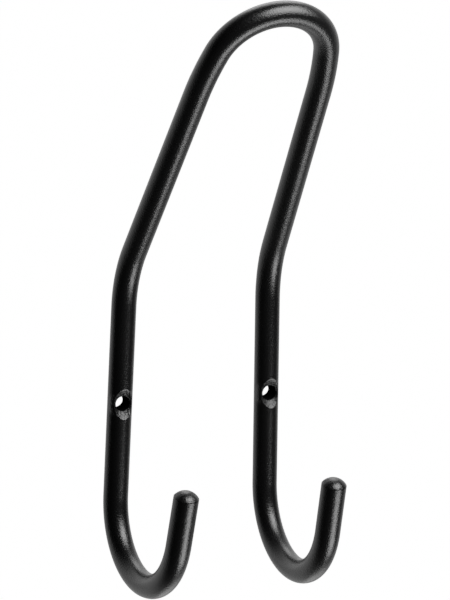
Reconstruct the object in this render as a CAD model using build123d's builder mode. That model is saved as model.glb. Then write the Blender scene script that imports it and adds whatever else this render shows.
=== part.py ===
from build123d import *
from math import asin, atan2, cos, degrees, hypot, radians, sin
import os

# Double hat hook, bent from one length of round steel rod.
#
# A narrow arch leans away from the wall and carries the hat. Two straight legs run
# down the wall, each with a countersunk screw hole, and each leg turns up at its foot
# into a coat hook with a domed tip.
#
# Millimetres. X runs across the hook, -Y points away from the wall and +Z is up.
# The wall is the plane Y = 0, and the origin lies on it midway between the screw holes.
# The right half is made first and then mirrored.

# ---- rod ----
rod_diameter = 8.0
dome_height = 2.1          # how far the rounded end stands out beyond the tip's straight side
rim_rounding = 0.4         # between the dome and the rod's side

# ---- legs, against the wall ----
hole_spacing = 52.5        # between the screw holes' axes
leg_splay = 1.1            # degrees that each leg leans outwards towards its foot
foot_drop = 30.5           # along the leg, from the screw hole to the start of the coat hook

# ---- bends that tip the arch away from the wall ----
bend_height = 41.3         # above the screw holes, where the leg's and the arm's lines cross
bend_radius = 36.0
lean = 32.0                # degrees between the wall and the arch's plane

# ---- arch ----
arch_length = 104.8        # up the lean, from the bends' corners to the crown's centreline
crown_radius = 19.2
crown_half_angle = 77.0    # degrees of crown arc on each side of the middle
shoulder_radius = 100.0    # wide arc that eases the crown into the straight arm

# ---- coat hooks ----
hook_radius = 23.5
hook_turn = 167.0          # degrees that the rod turns between the leg and the tip
toe_in = 1.0               # degrees that each coat hook points towards the middle
tip_length = 16.7          # straight end of the coat hook, without its dome

# ---- screw holes ----
hole_diameter = 4.8
sink_diameter = 10.0       # countersink's mouth, measured at the front of the rod
sink_angle = 110.0
mouth_break = 0.2          # edge taken off where the countersink opens out of the rod

rod_radius = rod_diameter / 2
dome_radius = (rod_radius**2 + dome_height**2) / (2 * dome_height)
drill_depth = 2 * rod_diameter

# Directions on the right half.
leg_up = Vector(-sin(radians(leg_splay)), 0, cos(radians(leg_splay)))
leg_down = leg_up * -1
hook_out = Vector(-sin(radians(toe_in)), -cos(radians(toe_in)), 0)

# Points on the rod's centreline, which runs one rod radius in front of the wall.
hole_point = Vector(hole_spacing / 2, -rod_radius, 0)
foot_point = hole_point + leg_down * foot_drop
bend_point = hole_point + leg_up * (bend_height / leg_up.Z)

# The arch's plane holds both bends' corners and leans out from there. The hook's plane
# holds the leg's line, and the drill's plane touches the front of the rod at the hole.
arch_plane = Plane(
    origin=(0, -rod_radius, bend_height),
    x_dir=(1, 0, 0),
    z_dir=(0, -cos(radians(lean)), -sin(radians(lean))),
)
hook_plane = Plane(origin=foot_point, x_dir=leg_down, z_dir=leg_down.cross(hook_out))
drill_plane = Plane(origin=hole_point + (0, -rod_radius, 0), z_dir=(0, -1, 0))

# The arm is the straight line from the bend's corner that just touches the shoulder's
# circle, which settles how far the arm leans inwards and how much shoulder is left.
shoulder_offset = shoulder_radius - crown_radius
shoulder_x = -shoulder_offset * sin(radians(crown_half_angle))
shoulder_rise = arch_length - crown_radius - shoulder_offset * cos(radians(crown_half_angle))
shoulder_reach = hypot(bend_point.X - shoulder_x, shoulder_rise)
arm_splay = degrees(
    atan2(bend_point.X - shoulder_x, shoulder_rise) - asin(shoulder_radius / shoulder_reach)
)
shoulder_turn = 90 - crown_half_angle - arm_splay

with BuildPart() as hook_rod:
    # Centreline, from the middle of the crown down to the tip.
    with BuildLine(arch_plane):
        crown = JernArc((0, arch_length), (1, 0), crown_radius, -crown_half_angle)
        shoulder = JernArc(crown @ 1, crown % 1, shoulder_radius, -shoulder_turn)
    with BuildLine():
        FilletPolyline(shoulder @ 1, bend_point, foot_point, radius=bend_radius)
    with BuildLine(hook_plane):
        bow = JernArc((0, 0), (1, 0), hook_radius, hook_turn)
        tip = Line(bow @ 1, bow @ 1 + (bow % 1) * tip_length)

    # The round section, carried along it.
    with BuildSketch(Plane(origin=crown @ 0, z_dir=crown % 0)):
        Circle(rod_radius)
    sweep()

    # Domed end: half of a low cap's outline, turned about the tip's own axis.
    with BuildSketch(Plane(origin=tip @ 1, x_dir=tip % 1, z_dir=hook_plane.z_dir)):
        with BuildLine():
            Line((0, 0), (0, rod_radius))
            RadiusArc((0, rod_radius), (dome_height, 0), dome_radius)
            Line((dome_height, 0), (0, 0))
        make_face()
    revolve(axis=Axis(tip @ 1, tip % 1))
    dome_rim = hook_rod.faces().filter_by(GeomType.SPHERE).edges().sort_by(SortBy.LENGTH)[-1]
    fillet(dome_rim, rim_rounding)

    # Screw hole, countersunk from the front.
    with Locations(drill_plane):
        CounterSinkHole(
            hole_diameter / 2, sink_diameter / 2, drill_depth, counter_sink_angle=sink_angle
        )
    sink_mouth = hook_rod.faces().filter_by(GeomType.CONE).edges().sort_by(SortBy.LENGTH)[-1]
    chamfer(sink_mouth, mouth_break)

    # The left half.
    mirror(about=Plane.YZ)

hook_rod.part.label = "hook_rod"

os.makedirs("parts", exist_ok=True)
export_step(hook_rod.part, "parts/hook_rod.step")
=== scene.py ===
# %% [markdown]
# # A double hat hook, bent from one steel rod
#
# The real object is a single length of 8 mm round steel rod. A bending machine turns it into
# a narrow arch that leans away from the wall and carries a hat, two straight legs that lie on
# the wall, and two coat hooks at their feet. The ends are domed, each leg is countersunk for
# one screw, and the whole rod is powder coated in semi-gloss black.
#
# This lesson loads the engineering model of the hook, makes a finely divided surface that
# stands in for it, and gives that surface its coat, its light and its camera. The
# engineering model says where everything is: X runs across the hook, -Y points away from the
# wall, +Z is up, and the origin lies on the wall midway between the screw holes.

import bpy
import numpy as np
from mathutils import Matrix, Vector


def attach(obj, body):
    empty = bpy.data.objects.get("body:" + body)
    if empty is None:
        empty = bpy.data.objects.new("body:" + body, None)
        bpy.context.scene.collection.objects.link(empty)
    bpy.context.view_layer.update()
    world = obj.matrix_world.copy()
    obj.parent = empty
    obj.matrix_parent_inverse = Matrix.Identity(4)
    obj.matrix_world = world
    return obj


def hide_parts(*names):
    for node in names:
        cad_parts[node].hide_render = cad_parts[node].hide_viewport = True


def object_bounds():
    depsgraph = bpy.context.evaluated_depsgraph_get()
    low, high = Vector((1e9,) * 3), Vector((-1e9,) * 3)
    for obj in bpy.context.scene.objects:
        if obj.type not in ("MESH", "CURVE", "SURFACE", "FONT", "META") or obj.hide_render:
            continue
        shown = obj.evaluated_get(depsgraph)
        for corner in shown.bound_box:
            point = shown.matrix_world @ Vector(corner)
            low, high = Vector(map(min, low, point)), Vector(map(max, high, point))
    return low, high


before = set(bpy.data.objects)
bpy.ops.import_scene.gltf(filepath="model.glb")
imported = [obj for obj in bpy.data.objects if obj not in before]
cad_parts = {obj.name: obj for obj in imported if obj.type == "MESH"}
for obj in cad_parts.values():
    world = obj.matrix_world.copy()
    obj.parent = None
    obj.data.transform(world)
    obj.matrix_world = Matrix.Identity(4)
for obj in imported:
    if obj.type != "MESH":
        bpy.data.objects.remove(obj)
cad_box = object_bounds()
print("engineering model:", sorted(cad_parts))
print("its box, mm:", [[round(c * 1000, 2) for c in corner] for corner in cad_box])

# %% [markdown]
# ## The sizes
#
# A bent rod needs very few numbers: how thick it is, and for each bend a radius, an angle
# and a place. They are the sizes that a maker would write on the bending drawing, in
# millimetres and degrees. Blender works in metres and numpy in radians, so two short names
# turn one into the other.

# %% Sizes on the bending drawing
mm = 0.001
deg = np.pi / 180

rod_radius = 4.0 * mm
dome_height = 2.1 * mm
rim_rounding = 0.4 * mm

hole_spacing = 52.5 * mm
leg_splay = 1.1 * deg
foot_drop = 30.5 * mm

bend_height = 41.3 * mm
bend_radius = 36.0 * mm
lean = 32.0 * deg

arch_length = 104.8 * mm
crown_radius = 19.2 * mm
crown_half_angle = 77.0 * deg
shoulder_radius = 100.0 * mm

hook_radius = 23.5 * mm
hook_turn = 167.0 * deg
toe_in = 1.0 * deg
tip_length = 16.7 * mm

bore_radius = 2.4 * mm
sink_radius = 5.0 * mm
sink_half_angle = 55.0 * deg
print(f"rod {2 * rod_radius / mm:.0f} mm thick, screw holes {hole_spacing / mm:.1f} mm apart")

# %% [markdown]
# ## Directions and corners
#
# The hook is the same on both sides, so only the right half is worked out. Its leg leans
# outwards by a degree towards the foot. The arch lies in one plane, which tips away from the
# wall. Where the leg's line meets that plane there is a corner, later rounded by a bend, and
# where the leg ends the coat hook begins.

# %% Directions and corners of the right half
def unit(vector):
    """The vector divided by its own length."""
    return vector / np.linalg.norm(vector)


across = np.array([1.0, 0.0, 0.0])
front = np.array([0.0, -1.0, 0.0])
leg_down = np.array([np.sin(leg_splay), 0.0, -np.cos(leg_splay)])
up_the_arch = np.array([0.0, -np.sin(lean), np.cos(lean)])
hook_out = np.array([-np.sin(toe_in), -np.cos(toe_in), 0.0])

hole_centre = np.array([hole_spacing / 2, -rod_radius, 0.0])
foot_point = hole_centre + leg_down * foot_drop
bend_corner = hole_centre + leg_down * (-bend_height / np.cos(leg_splay))
arch_foot = np.array([0.0, -rod_radius, bend_height])
crown_point = arch_foot + up_the_arch * arch_length
print("bend corner, mm:", np.round(bend_corner / mm, 2))
print("crown, mm:", np.round(crown_point / mm, 2))

# %% [markdown]
# ## The arm just touches the shoulder
#
# Between the tight crown and the straight arm the rod eases through a wide shoulder arc. The
# arm has to leave that arc without a kink, so it is the line from the bend's corner that just
# touches the shoulder's circle. A right triangle gives its slant: the hypotenuse runs from
# the corner to the circle's centre, and the opposite side is the circle's radius.

# %% Slant of the arm and turn of the shoulder
centre_offset = shoulder_radius - crown_radius
shoulder_x = -centre_offset * np.sin(crown_half_angle)
shoulder_rise = arch_length - crown_radius - centre_offset * np.cos(crown_half_angle)
run_in = bend_corner[0] - shoulder_x
arm_splay = np.arctan2(run_in, shoulder_rise) - np.arcsin(
    shoulder_radius / np.hypot(run_in, shoulder_rise)
)
shoulder_turn = np.pi / 2 - crown_half_angle - arm_splay
print(f"arm slant {arm_splay / deg:.2f} deg, shoulder turn {shoulder_turn / deg:.2f} deg")

# %% [markdown]
# ## Walking along the rod
#
# A surface of revolution can't follow a bent rod, and a curve with a bevel gives no say over
# where its rings and its seam lie. So the rod is walked as the bending machine feeds it: a
# straight run keeps its heading, and a bent run turns it steadily about one axis. At each
# step the walk notes three things, the centre, the heading, and which way is the rod's front.
# The front is carried along without twisting, and that keeps the later mesh even.

# %% Straight and bent runs
def turned(vector, axis, angles):
    """The vector turned about a unit axis by each angle: its part along the axis stays, and
    the rest goes round by cosine and sine."""
    angles = np.asarray(angles, float)[..., None]
    along_axis = axis * (vector @ axis)
    level = vector - along_axis
    return along_axis + level * np.cos(angles) + np.cross(axis, level) * np.sin(angles)


def stations(start, heading, side, distances, axis=None, radius=None):
    """Centre, heading and front of the rod at each distance along one run. A straight run
    moves on by distance times heading. A bent run goes round a centre one radius to the
    inside, by an angle of distance over radius."""
    distances = np.asarray(distances, float)
    if axis is None:
        centres = start + distances[:, None] * heading
        same = np.ones((len(distances), 1))
        return centres, same * heading, same * side
    angles = distances / radius
    pivot = start + np.cross(axis, heading) * radius
    centres = pivot + turned(start - pivot, axis, angles)
    return centres, turned(heading, axis, angles), turned(side, axis, angles)


quarter_turn = turned(across, np.array([0.0, 0.0, 1.0]), np.pi / 2)
print("X turned a quarter about Z:", np.round(quarter_turn, 3))

# %% [markdown]
# ## Where the rings go
#
# The tube is a stack of rings. A bend needs one every three quarters of a millimetre to look
# round, a straight run hardly any, and the stretch with the screw hole needs a fine, even
# grid that the hole can be stitched into.

# %% Distances of the rings on each run
bend_step, straight_step = 0.75 * mm, 2.2 * mm
patch_half_length, patch_cells = 7.0 * mm, 40


def evenly(length, step):
    """Distances from 0 up to, but not including, the length, about one step apart."""
    return np.linspace(0.0, length, max(2, round(length / step)), endpoint=False)


arch_axis = np.cross(up_the_arch, across)
arm_down = turned(across, arch_axis, crown_half_angle + shoulder_turn)
bend_axis = unit(np.cross(arm_down, leg_down))
bend_turn = np.arccos(arm_down @ leg_down)
bend_setback = bend_radius * np.tan(bend_turn / 2)
hook_axis = unit(np.cross(leg_down, hook_out))

touch_point = arch_foot + across * shoulder_x + up_the_arch * shoulder_rise
touch_point = touch_point + shoulder_radius * (
    across * np.cos(arm_splay) + up_the_arch * np.sin(arm_splay)
)
arm_length = np.linalg.norm(bend_corner - touch_point) - bend_setback
leg_length = np.linalg.norm(foot_point - bend_corner) - bend_setback
hole_distance = leg_length - foot_drop

patch_top = hole_distance - patch_half_length
patch_foot = hole_distance + patch_half_length
patch_steps = np.linspace(patch_top, patch_foot, patch_cells + 1)
leg_steps = np.concatenate([
    evenly(patch_top, straight_step),
    patch_steps,
    patch_foot + evenly(leg_length - patch_foot, straight_step)[1:],
])
print(f"arm {arm_length / mm:.1f} mm, leg {leg_length / mm:.1f} mm long")
print(f"bend {bend_turn / deg:.1f} deg")

# %% [markdown]
# ## The domed end
#
# The end of the rod is pressed or turned to a low dome, and its rim is softened. Both are
# read off the direction that the surface faces: from straight out at the side, through the
# little rim arc, and on over the dome until it faces along the rod.

# %% Outline of the domed end
rim_rings, dome_rings = 7, 16

dome_radius = (rod_radius**2 + dome_height**2) / (2 * dome_height)
dome_centre = dome_height - dome_radius
rim_centre_out = rod_radius - rim_rounding
rim_centre_along = dome_centre + np.sqrt((dome_radius - rim_rounding) ** 2 - rim_centre_out**2)
rim_end = np.arctan2(rim_centre_along - dome_centre, rim_centre_out)

rim_facing = np.linspace(0.0, rim_end, rim_rings)
dome_facing = np.linspace(rim_end, np.pi / 2, dome_rings)[1:-1]
end_out = np.concatenate([
    rim_centre_out + rim_rounding * np.cos(rim_facing),
    dome_radius * np.cos(dome_facing),
])
end_along = np.concatenate([
    rim_centre_along + rim_rounding * np.sin(rim_facing),
    dome_centre + dome_radius * np.sin(dome_facing),
])
print(f"dome radius {dome_radius / mm:.2f} mm, rim arc {rim_end / deg:.0f} deg")

# %% [markdown]
# ## The tube
#
# Now the runs are joined. The front is known on the leg, where it has to point straight away
# from the wall for the screw hole, so it is first turned back through the bend and the arch
# to find what it was at the crown. Each ring is then a circle: the front times the cosine
# plus the side times the sine.

# %% Walk the right half and lay rings on it
around = 96

runs = [
    (crown_radius * crown_half_angle, bend_step, arch_axis, crown_radius),
    (shoulder_radius * shoulder_turn, bend_step, arch_axis, shoulder_radius),
    (arm_length, straight_step, None, None),
    (bend_radius * bend_turn, bend_step, bend_axis, bend_radius),
    (leg_length, leg_steps, None, None),
    (hook_radius * hook_turn, bend_step, hook_axis, hook_radius),
    (tip_length + rim_centre_along, straight_step, None, None),
]

side_at_arm = turned(front, bend_axis, -bend_turn)
place = (crown_point, across, turned(side_at_arm, arch_axis, -(crown_half_angle + shoulder_turn)))
walked, ring_count = [], 0
for length, step, axis, radius in runs:
    if step is leg_steps:
        distances, first_leg_ring = leg_steps, ring_count
    else:
        distances = evenly(length, step)
    walked.append(stations(*place, distances, axis, radius))
    place = tuple(part[0] for part in stations(*place, [length], axis, radius))
    ring_count += len(distances)

end_point, end_heading, end_front = place
tip_point = end_point - end_heading * rim_centre_along
same = np.ones((len(end_along), 1))
walked.append((
    tip_point + end_along[:, None] * end_heading,
    same * end_heading,
    same * end_front,
))
centres, headings, fronts = (np.concatenate(part) for part in zip(*walked))
ring_radii = np.concatenate([np.full(ring_count, rod_radius), end_out])
sides = np.cross(headings, fronts)

around_angle = np.arange(around) * (2 * np.pi / around)
outward = (
    fronts[:, None] * np.cos(around_angle)[None, :, None]
    + sides[:, None] * np.sin(around_angle)[None, :, None]
)
tube = centres[:, None] + ring_radii[:, None, None] * outward
print("rings on the right half:", len(tube), " tip, mm:", np.round(tip_point / mm, 2))

# %% [markdown]
# ## The screw hole
#
# A countersunk hole in a round rod has a saddle-shaped mouth, because the cone meets a
# cylinder. A boolean cut would find that edge but leave long thin faces round it, and the
# coat needs a soft, even edge to catch the light. So the hole is a sheet of its own: rings
# that start on the rod's grid, close in on the mouth, roll over its edge, go down the cone
# and the bore, and open out again on the wall side. All rings have the same number of
# points, so the sheet is one grid. Its first ring runs round a patch of the rod's faces, and
# each point on it gets a direction from the axis of the hole.

# %% Edge of the patch round the hole
half_cells = patch_cells // 2
run_cells = np.arange(patch_cells)
edge_across = np.concatenate([
    run_cells - half_cells,
    np.full(patch_cells, half_cells),
    half_cells - run_cells,
    np.full(patch_cells, -half_cells),
])
edge_along = np.concatenate([
    np.zeros(patch_cells, int),
    run_cells,
    np.full(patch_cells, patch_cells),
    patch_cells - run_cells,
])
patch_first = first_leg_ring + int(np.argmin(np.abs(leg_steps - patch_top)))
edge_turn = edge_across * (2 * np.pi / around)
edge_reach = (edge_along / patch_cells * 2 - 1) * patch_half_length
facing = np.arctan2(edge_reach, rod_radius * edge_turn)
go_side, go_along = np.cos(facing), np.sin(facing)
print("points round the patch:", len(facing))

# %% [markdown]
# ## Where the cone meets the rod
#
# A point of the hole is given by its direction and its distance from the axis, and what is
# left to find is its height above the rod's centre. On the rod's surface that is the root of
# radius squared minus sideways offset squared. On the cone it falls as the distance shrinks.
# The mouth is where the two are equal.

# %% Heights of the rod and the cone
def rod_height(distance):
    """Height of the rod's surface over its centre, at a distance from the hole's axis."""
    return np.sqrt(rod_radius**2 - (distance * go_side) ** 2)


def cone_height(distance):
    """Height of the countersink's face, whose widest circle touches the rod's front."""
    return rod_radius - (sink_radius - distance) / np.tan(sink_half_angle)


def mouth_distance():
    """Where cone and rod are equally high: the larger root of a quadratic in the distance."""
    steep = 1 / np.tan(sink_half_angle)
    base = rod_radius - sink_radius * steep
    a, b, c = steep**2 + go_side**2, 2 * steep * base, base**2 - rod_radius**2
    return (-b + np.sqrt(b**2 - 4 * a * c)) / (2 * a)


mouth = mouth_distance()
mouth_across, mouth_along = 2 * mouth.min() / mm, 2 * mouth.max() / mm
print(f"mouth {mouth_across:.2f} mm across the rod and {mouth_along:.2f} mm along it")

# %% [markdown]
# ## Rolled edges
#
# Melted powder draws back from a sharp edge and leaves it round. So the mouth, the throat
# where the cone meets the bore, and the exit on the wall side each get a small curve in place
# of their corner. The mouth's curve is the largest, and it is what catches the light.

# %% Rolled edges of the hole
edge_roll, throat_roll = 0.14 * mm, 0.08 * mm
mouth_rings, throat_rings, exit_rings = 9, 5, 5


def rolled_edge(first, corner, last, count):
    """A rounded corner: the quadratic curve that leaves the first point towards the corner
    and arrives at the last point from it. Both its ends belong to it."""
    t = np.linspace(0.0, 1.0, count)[:, None]
    return [
        (1 - t) ** 2 * a + 2 * t * (1 - t) * b + t**2 * c
        for a, b, c in zip(first, corner, last)
    ]


mouth_slope = mouth * go_side**2 / rod_height(mouth)
mouth_outer = mouth + edge_roll / np.hypot(1.0, mouth_slope)
mouth_inner = mouth - edge_roll * np.sin(sink_half_angle)
throat = np.full_like(mouth, bore_radius)
throat_outer = throat + throat_roll * np.sin(sink_half_angle)
exit_slope = throat * go_side**2 / rod_height(throat)
exit_outer = throat + throat_roll / np.hypot(1.0, exit_slope)

mouth_roll = rolled_edge(
    (mouth_outer, rod_height(mouth_outer)),
    (mouth, rod_height(mouth)),
    (mouth_inner, cone_height(mouth_inner)),
    mouth_rings,
)
throat_edge = rolled_edge(
    (throat_outer, cone_height(throat_outer)),
    (throat, cone_height(throat)),
    (throat, cone_height(throat) - throat_roll),
    throat_rings,
)
exit_edge = rolled_edge(
    (throat, throat_roll - rod_height(throat)),
    (throat, -rod_height(throat)),
    (exit_outer, -rod_height(exit_outer)),
    exit_rings,
)
print("rings on the rolled edges:", mouth_rings + throat_rings + exit_rings)

# %% [markdown]
# ## The sheet of the hole
#
# Straight rings fill the cone and the bore between the rolled edges. On the rod's own skin
# the rings change from the four-sided outline of the patch to the outline of the mouth. They
# stand closer together near the mouth, where the surface turns fastest. Last, the sheet is
# moved from the hole's own directions to those of the leg.

# %% Rings of the whole sheet
cone_rings, bore_rings, skin_rings = 6, 5, 9
crowding = 1.5


def ruled(first, last, count):
    """Rings between two rings, along straight lines and without either end."""
    t = np.linspace(0.0, 1.0, count + 2)[1:-1, None]
    return [a + (b - a) * t for a, b in zip(first, last)]


profile = [mouth_roll, None, throat_edge, None, exit_edge]
profile[1] = ruled([p[-1] for p in mouth_roll], [p[0] for p in throat_edge], cone_rings)
profile[3] = ruled([p[-1] for p in throat_edge], [p[0] for p in exit_edge], bore_rings)
distance, height = (np.concatenate([p[k] for p in profile]) for k in (0, 1))
inner = np.stack([distance * go_side, distance * go_along, height], axis=-1)


def skin(inner_distance, count, sign):
    """Rings on the rod's own surface, between the patch's edge and a ring near the hole,
    straight in the unrolled surface. The way left to go shrinks as an even count down to 0,
    raised to the crowding. Sign is 1 in front and -1 on the wall side."""
    t = np.linspace(0.0, 1.0, count + 2)[1:-1, None]
    t = 1 - (1 - t) ** crowding
    inner_turn = np.arcsin(inner_distance * go_side / rod_radius)
    turn = edge_turn + (inner_turn - edge_turn) * t
    reach = edge_reach + (inner_distance * go_along - edge_reach) * t
    return np.stack([rod_radius * np.sin(turn), reach, sign * rod_radius * np.cos(turn)], -1)


sheet = np.concatenate([
    skin(mouth_outer, skin_rings, 1),
    inner,
    skin(exit_outer, skin_rings, -1)[::-1],
])
leg_side = np.cross(leg_down, front)
hole_sheet = hole_centre + sheet @ np.stack([leg_side, leg_down, front])
print("hole sheet:", sheet.shape[0], "rings of", sheet.shape[1], "points")

# %% [markdown]
# ## Stitching the rod together
#
# The faces are index tables. The tube's table leaves out the patch of faces where the hole
# goes, in front and behind, and the hole's sheet picks up the edges of both patches, so no
# points are doubled. One triangle fan closes the dome.

# %% Faces of the right half
def strips(rows):
    """Four-cornered faces between each row of indices and the next, closed round the row."""
    ahead = np.roll(rows, -1, axis=1)
    return np.stack([rows[:-1], rows[1:], ahead[1:], ahead[:-1]], axis=-1).reshape(-1, 4)


tube_index = np.arange(tube.shape[0] * around).reshape(-1, around)
tube_faces = strips(tube_index).reshape(-1, around, 4)
kept = np.ones(tube_faces.shape[:2], bool)
patch_rows = slice(patch_first, patch_first + patch_cells)
patch_columns = np.arange(-half_cells, half_cells)
kept[patch_rows, patch_columns] = False
kept[patch_rows, patch_columns + around // 2] = False

sheet_size = sheet.shape[0] * sheet.shape[1]
sheet_index = tube_index.size + np.arange(sheet_size).reshape(sheet.shape[:2])
sheet_rows = np.concatenate([
    tube_index[patch_first + edge_along, edge_across][None],
    sheet_index,
    tube_index[patch_first + edge_along, (around // 2 - edge_across) % around][None],
])
pole_index = tube_index.size + sheet_index.size
last_ring = tube_index[-1]
fan = np.stack([last_ring, np.full(around, pole_index), np.roll(last_ring, -1)], axis=-1)

half_points = np.concatenate([
    tube.reshape(-1, 3),
    hole_sheet.reshape(-1, 3),
    (tip_point + end_heading * dome_height)[None],
])
half_quads = np.concatenate([tube_faces[kept], strips(sheet_rows)])
print("right half:", len(half_points), "points,", len(half_quads) + len(fan), "faces")

# %% [markdown]
# ## Both halves
#
# The left half is the same table with X reversed and every face turned round, and both halves
# share the ring at the crown. The faces should look outwards. To test it, the volume is added
# up from the little pyramids that join each face to the origin: a sum below nought would mean
# that they look inwards, and then they are all turned round.

# %% The mirrored left half
left_index = np.arange(len(half_points))
left_index[around:] += len(half_points) - around
points = np.concatenate([half_points, half_points[around:] * (-1, 1, 1)])
quads = np.concatenate([half_quads, left_index[half_quads][:, ::-1]])
triangles = np.concatenate([fan, left_index[fan][:, ::-1]])

a, b, c, d = (points[quads[:, k]] for k in range(4))
volume = (a * (np.cross(b, c) + np.cross(c, d))).sum() / 6
if volume < 0:
    quads, triangles = quads[:, ::-1], triangles[:, ::-1]
print("whole rod:", len(points), "points,", len(quads) + len(triangles), "faces")
print(f"volume {abs(volume) / mm**3:.0f} mm3")

# %% [markdown]
# ## From tables to a mesh
#
# Blender takes the tables whole. The object stays at the origin, unturned and unscaled, and
# takes the place of the engineering solid, which remains for the physics.

# %% The coated rod
def mesh_object(name, points, faces):
    """An object at the origin whose mesh has these points and faces, smoothly shaded."""
    mesh = bpy.data.meshes.new(name)
    mesh.from_pydata(points.tolist(), [], faces)
    mesh.polygons.foreach_set("use_smooth", np.ones(len(mesh.polygons), bool))
    mesh.update()
    made = bpy.data.objects.new(name, mesh)
    bpy.context.scene.collection.objects.link(made)
    return made


coated_rod = mesh_object("coated_rod", points, quads.tolist() + triangles.tolist())
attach(coated_rod, "root")
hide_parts("hook_rod")
print("valid mesh:", not coated_rod.data.validate())

# %% [markdown]
# ## Shader maths in plain Python
#
# A shader is a graph of nodes, and sums written out as nodes are hard to read. One small
# class wraps an output socket, and the usual operators on it add the Math nodes.

# %% A socket that does sums
class Recipe:
    """A node tree being filled in. Its node method adds any node in one line."""

    def __init__(self, tree):
        self.tree = tree
        tree.nodes.clear()

    def node(self, kind, settings=(), **sockets):
        """Adds a node, sets its settings first, and then its sockets. A socket goes by its
        name, with underscores for spaces, or by its number, as _6 for the sixth from 0."""
        made = self.tree.nodes.new(kind)
        for name, value in dict(settings).items():
            setattr(made, name, value)
        for name, value in sockets.items():
            spot = int(name[1:]) if name[0] == "_" else name.replace("_", " ")
            if isinstance(value, Term):
                self.tree.links.new(value.socket, made.inputs[spot])
            else:
                made.inputs[spot].default_value = value
        return made

    def term(self, made, output=0):
        """One output of a node, ready to be used in a sum."""
        return Term(self, made.outputs[output])


class Term:
    """An output socket. Adding, taking away and multiplying give a new one."""

    def __init__(self, recipe, socket):
        self.recipe, self.socket = recipe, socket

    def maths(self, operation, first, second):
        """Adds a Math node that works on two values or terms."""
        made = self.recipe.node("ShaderNodeMath", {"operation": operation}, _0=first, _1=second)
        return self.recipe.term(made)

    def __add__(self, other):
        return self.maths("ADD", self, other)

    def __sub__(self, other):
        return self.maths("SUBTRACT", self, other)

    def __rsub__(self, other):
        return self.maths("SUBTRACT", other, self)

    def __mul__(self, other):
        return self.maths("MULTIPLY", self, other)

    def maximum(self, other):
        return self.maths("MAXIMUM", self, other)

    def absolute(self):
        return self.maths("ABSOLUTE", self, 0.0)

    def root(self):
        return self.maths("SQRT", self, 0.0)

    __radd__, __rmul__ = __add__, __mul__


# %% [markdown]
# ## Patterns and masks
#
# Two things are wanted again and again: a random pattern with a given number of crests, and a
# mask that steps smoothly from one level to another.

# %% A random pattern and a smooth step
def noise(recipe, vector, crests, detail):
    """Soft random values around one half, with about this many crests in a metre."""
    made = recipe.node("ShaderNodeTexNoise", Vector=vector, Scale=crests, Detail=detail)
    return recipe.term(made, "Fac")


def smooth_step(recipe, value, start, end, first=0.0, last=1.0):
    """The first level up to the start and the last level from the end on. In between, with t
    as the share of the way, three t squared minus two t cubed of the difference is added."""
    made = recipe.node(
        "ShaderNodeMapRange",
        {"interpolation_type": "SMOOTHSTEP"},
        Value=value,
        From_Min=start,
        From_Max=end,
        To_Min=first,
        To_Max=last,
    )
    return recipe.term(made)


# %% [markdown]
# ## The powder coat
#
# The coat is polyester powder, sprayed on dry and melted in an oven. It flows out almost
# smooth but keeps a fine grain, about 0.4 mm from crest to crest, on a weaker one of about a
# millimetre. A third pattern is slow, a crest every two centimetres, and says where the film
# is thin. Every pattern reads the object's own coordinates, so it stays put from every side.

# %% Patterns of the coat
grain_crests, peel_crests, film_crests = 2400.0, 900.0, 45.0

coat = bpy.data.materials.new("black_powder_coat")
coat.use_nodes = True
coat_recipe = Recipe(coat.node_tree)
where = coat_recipe.term(coat_recipe.node("ShaderNodeTexCoord"), "Object")
grain = noise(coat_recipe, where, grain_crests, 1.0)
peel = noise(coat_recipe, where, peel_crests, 1.0)
thinness = noise(coat_recipe, where, film_crests, 2.0)
print(f"grain {1 / grain_crests / mm:.2f} mm, peel {1 / peel_crests / mm:.2f} mm")

# %% [markdown]
# ## The coat in the screw holes
#
# The screw holes are coated less evenly. In the countersink the powder piles up and melts
# into lumps, so a stronger pattern joins the bump there. Into the narrow bore it hardly
# reaches at all, and a dull black takes over within a third of a millimetre of the wall. Both
# places are found by their distance from the axis of the hole, and the countersink by its
# depth too.

# %% Masks round the screw holes
lump_crests = 1600.0
sink_full, sink_none = 0.8 * sink_radius, 1.04 * sink_radius
depth_full, depth_none = -1.4 * rod_radius, -1.1 * rod_radius
bore_full, bore_none = bore_radius + 0.02 * mm, bore_radius + 0.3 * mm

apart = coat_recipe.node("ShaderNodeSeparateXYZ", Vector=where)
sideways = coat_recipe.term(apart, "X").absolute() - hole_spacing / 2
upwards = coat_recipe.term(apart, "Z")
depth = coat_recipe.term(apart, "Y")
from_axis = (sideways * sideways + upwards * upwards).root()

near_hole = smooth_step(coat_recipe, from_axis, sink_full, sink_none, 1.0, 0.0)
front_half = smooth_step(coat_recipe, depth, depth_full, depth_none, 1.0, 0.0)
in_bore = smooth_step(coat_recipe, from_axis, bore_full, bore_none, 1.0, 0.0)
lumps = noise(coat_recipe, where, lump_crests, 2.0) * (near_hole * front_half)
print(f"dull black up to {bore_none / mm:.1f} mm from the axis")

# %% [markdown]
# ## Colour and gloss of the coat
#
# The grain goes in as a bump a few hundredths of a millimetre deep. Its crests are a touch
# duller than its hollows, so every highlight breaks up into fine specks. Where the film is
# thin, the black is a shade lighter and duller, and the gloss wanders a little along the rod.
# Polyester bends light a little more than window glass does, and that sets the refractive
# index. In the bores a Mix Shader swaps the glossy coat for the dull black.
#
# The Mix node keeps sockets for numbers, vectors and colours side by side. Its colour inputs
# are numbers 6 and 7, its colour output is number 2, and its factor is number 0.

# %% Powder coat material
bump_depth = 0.045 * mm
grain_share, peel_share, lump_share = 1.6, 0.4, 6.0
roughness, thin_roughness, crest_roughness = 0.238, 0.03, 0.06
refractive_index = 1.56
thick_black = (0.0026, 0.0026, 0.0027, 1.0)
thin_black = (0.0046, 0.0046, 0.0048, 1.0)
bore_black = (0.0025, 0.0025, 0.0026, 1.0)

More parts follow.
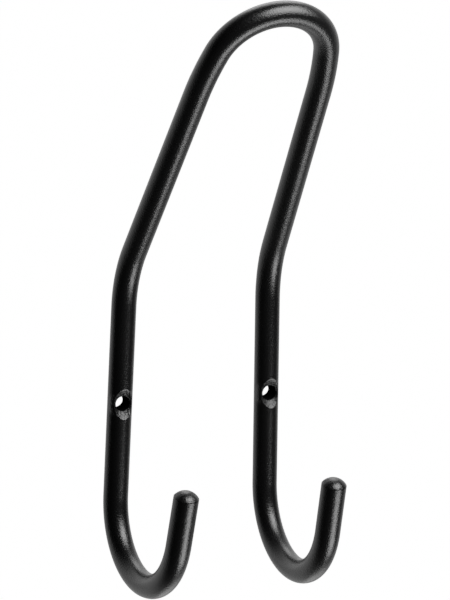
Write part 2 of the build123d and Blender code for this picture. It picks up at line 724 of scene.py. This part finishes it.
surface = grain * grain_share + peel * peel_share + lumps * lump_share
bump = coat_recipe.node("ShaderNodeBump", Strength=1.0, Distance=bump_depth, Height=surface)
shade = coat_recipe.node(
    "ShaderNodeMix", {"data_type": "RGBA"}, _0=thinness, _6=thick_black, _7=thin_black
)
gloss = coat_recipe.node(
    "ShaderNodeBsdfPrincipled",
    Base_Color=coat_recipe.term(shade, 2),
    Roughness=roughness + thinness * thin_roughness + grain * crest_roughness,
    IOR=refractive_index,
    Normal=coat_recipe.term(bump),
)
bare = coat_recipe.node("ShaderNodeBsdfDiffuse", Color=bore_black, Roughness=1.0)
skin_or_bore = coat_recipe.node(
    "ShaderNodeMixShader",
    _0=in_bore,
    _1=coat_recipe.term(gloss),
    _2=coat_recipe.term(bare),
)
coat_recipe.node("ShaderNodeOutputMaterial", Surface=coat_recipe.term(skin_or_bore))
coated_rod.data.materials.append(coat)
print("coat nodes:", len(coat.node_tree.nodes))

# %% [markdown]
# ## White behind, dark in front
#
# The hook is shown against white, as in a studio. In its reflections only the side behind it
# is white, and the side towards the camera is dark: the white edges the black rod with light,
# and the dark keeps its middle black. The Light Path node tells a material what kind of ray
# has come to it, so what the camera sees and what the rod mirrors can differ.

# %% Direction and kind of a ray
def share_along(recipe, vector, direction):
    """How far a vector points in a direction: their dot product."""
    made = recipe.node(
        "ShaderNodeVectorMath", {"operation": "DOT_PRODUCT"}, _0=vector, _1=direction
    )
    return recipe.term(made, "Value")


def in_mirrors(recipe, rays):
    """1 for a ray that comes off a glossy surface or through a clear one, and 0 for others."""
    return recipe.term(rays, "Is Glossy Ray").maximum(recipe.term(rays, "Is Transmission Ray"))


white_azimuth = 165.0 * deg
white_side = (np.sin(white_azimuth), -np.cos(white_azimuth), 0.0)
print("white side:", np.round(white_side, 2))

# %% [markdown]
# ## The floor
#
# The hook hangs on a wall, so the floor is more than two metres below it, a pale sheet all
# round. To the camera it is plain white, and in reflections it glows on the white side only.

# %% Floor
floor_level, floor_front, floor_back, floor_half_width = -2.2, -4.0, 30.0, 14.0
corners = np.array([
    [-floor_half_width, floor_front, floor_level],
    [floor_half_width, floor_front, floor_level],
    [floor_half_width, floor_back, floor_level],
    [-floor_half_width, floor_back, floor_level],
])
floor = mesh_object("floor", corners, [[0, 1, 2, 3]])

floor_dark, floor_white = -0.1, 0.6
floor_in_mirrors, floor_to_camera, floor_grey = 0.64, 0.985, 0.7

floor_paint = bpy.data.materials.new("pale_floor")
floor_paint.use_nodes = True
floor_recipe = Recipe(floor_paint.node_tree)
rays = floor_recipe.node("ShaderNodeLightPath")
from_hook = floor_recipe.node(
    "ShaderNodeVectorMath",
    {"operation": "NORMALIZE"},
    _0=floor_recipe.term(floor_recipe.node("ShaderNodeTexCoord"), "Object"),
)
towards_back = share_along(floor_recipe, floor_recipe.term(from_hook), white_side)
back_half = smooth_step(floor_recipe, towards_back, floor_dark, floor_white)
seen = floor_recipe.term(rays, "Is Camera Ray").maximum(
    in_mirrors(floor_recipe, rays) * back_half * floor_in_mirrors
)
paint = floor_recipe.node("ShaderNodeBsdfDiffuse", Color=(floor_grey,) * 3 + (1.0,))
glow = floor_recipe.node(
    "ShaderNodeEmission", Color=(1.0, 1.0, 1.0, 1.0), Strength=seen * floor_to_camera
)
both = floor_recipe.node(
    "ShaderNodeAddShader", _0=floor_recipe.term(paint), _1=floor_recipe.term(glow)
)
floor_recipe.node("ShaderNodeOutputMaterial", Surface=floor_recipe.term(both))
floor.data.materials.append(floor_paint)
print("floor at", floor_level, "m")

# %% [markdown]
# ## The world
#
# The world is white to the camera in every direction. In reflections it is white only at
# the back, like the floor, and for plain diffuse light it is a very low, even fill.

# %% World
sky_dark, sky_white = 0.05, 0.75
sky_in_mirrors, sky_fill = 0.92, 0.02

world = bpy.data.worlds.new("studio")
world.use_nodes = True
bpy.context.scene.world = world
world_recipe = Recipe(world.node_tree)
looking = world_recipe.term(world_recipe.node("ShaderNodeTexCoord"), "Generated")
towards_wall = share_along(world_recipe, looking, white_side)
behind = smooth_step(world_recipe, towards_wall, sky_dark, sky_white)
rays = world_recipe.node("ShaderNodeLightPath")
mirror_ray = in_mirrors(world_recipe, rays)
level = world_recipe.term(rays, "Is Camera Ray").maximum(
    mirror_ray * behind * sky_in_mirrors + (1 - mirror_ray) * sky_fill
)
sky = world_recipe.node("ShaderNodeBackground", Color=(1.0, 1.0, 1.0, 1.0), Strength=level)
world_recipe.node("ShaderNodeOutputWorld", Surface=world_recipe.term(sky))
print("world nodes:", len(world.node_tree.nodes))

# %% [markdown]
# ## Soft boxes
#
# A black glossy rod shows hardly anything but reflections, so the lamps are what draws its
# form. Two soft boxes stand in front and to the right, one high and one low, and each gives
# every bend a soft streak on one side. A weaker box at the back lights the rim of the arch
# from above, and a pale card below lights the undersides of the two hooks.

# %% Lamps
middle = (cad_box[0] + cad_box[1]) / 2


def soft_box(name, azimuth, elevation, distance, width, height, watts, spread=180, roll=0):
    """A rectangular lamp that faces the hook. Azimuth 0 is straight in front of the hook and
    90 is to its right, and elevation is above the horizon, both in degrees. A spread below
    180 degrees stands for a grid on the box, which keeps its light off the floor. Roll turns
    the box about the line to the hook, also in degrees."""
    a, e = azimuth * deg, elevation * deg
    back = Vector((np.sin(a) * np.cos(e), -np.cos(a) * np.cos(e), np.sin(e)))
    data = bpy.data.lights.new(name, "AREA")
    data.shape = "RECTANGLE"
    data.size, data.size_y = width, height
    data.energy = watts
    data.spread = spread * deg
    lamp = bpy.data.objects.new(name, data)
    lamp.matrix_world = Matrix.Translation(middle + back * distance) @ (
        back.to_track_quat("Z", "Y").to_matrix().to_4x4()
        @ Matrix.Rotation(roll * deg, 4, "Z")
    )
    lamp.visible_camera = False
    bpy.context.scene.collection.objects.link(lamp)


soft_box(
    "high_soft_box",
    azimuth=27, elevation=45, distance=0.36, width=0.34, height=0.27, watts=1.04, spread=120,
)
soft_box(
    "low_soft_box",
    azimuth=31, elevation=-47, distance=0.65, width=0.36, height=0.38, watts=2.6, roll=36,
)
soft_box(
    "back_soft_box",
    azimuth=155, elevation=50, distance=0.65, width=0.47, height=0.47, watts=0.49, spread=100,
)
soft_box(
    "low_back_card",
    azimuth=135, elevation=-68, distance=0.65, width=0.35, height=0.35, watts=0.42,
)

# %% [markdown]
# ## The camera
#
# A long lens from about a metre away, a little to the left of the hook and a little above
# it, tipped very slightly. Its place is worked out from the direction that it looks in, and
# then slid sideways and up so that the hook fills the picture.

# %% Camera
camera_azimuth, camera_elevation, camera_roll = -26.322 * deg, 10.788 * deg, 1.764 * deg
camera_distance, slide_right, slide_up = 1085.68 * mm, 11.90 * mm, 30.57 * mm
focal_length, sensor_width = 200.52, 36.0

back = np.array([
    np.sin(camera_azimuth) * np.cos(camera_elevation),
    -np.cos(camera_azimuth) * np.cos(camera_elevation),
    np.sin(camera_elevation),
])
right = np.array([np.cos(camera_azimuth), np.sin(camera_azimuth), 0.0])
right = turned(right, back, camera_roll)
up = np.cross(back, right)
spot = back * camera_distance + right * slide_right + up * slide_up

lens = bpy.data.cameras.new("camera")
lens.lens, lens.sensor_width = focal_length, sensor_width
camera = bpy.data.objects.new("camera", lens)
camera.matrix_world = Matrix.Translation(Vector(spot)) @ Matrix(
    np.stack([right, up, back], axis=1).tolist()
).to_4x4()
bpy.context.scene.collection.objects.link(camera)
bpy.context.scene.camera = camera
bpy.context.scene.view_settings.view_transform = "Standard"
print("camera at, mm:", np.round(spot / mm, 1))

# %% [markdown]
# ## Finish
#
# The view layer is brought up to date, so that every object stands where it was put.
# The finished surface must be no bigger than the engineering model.

# %% Finish
bpy.context.view_layer.update()
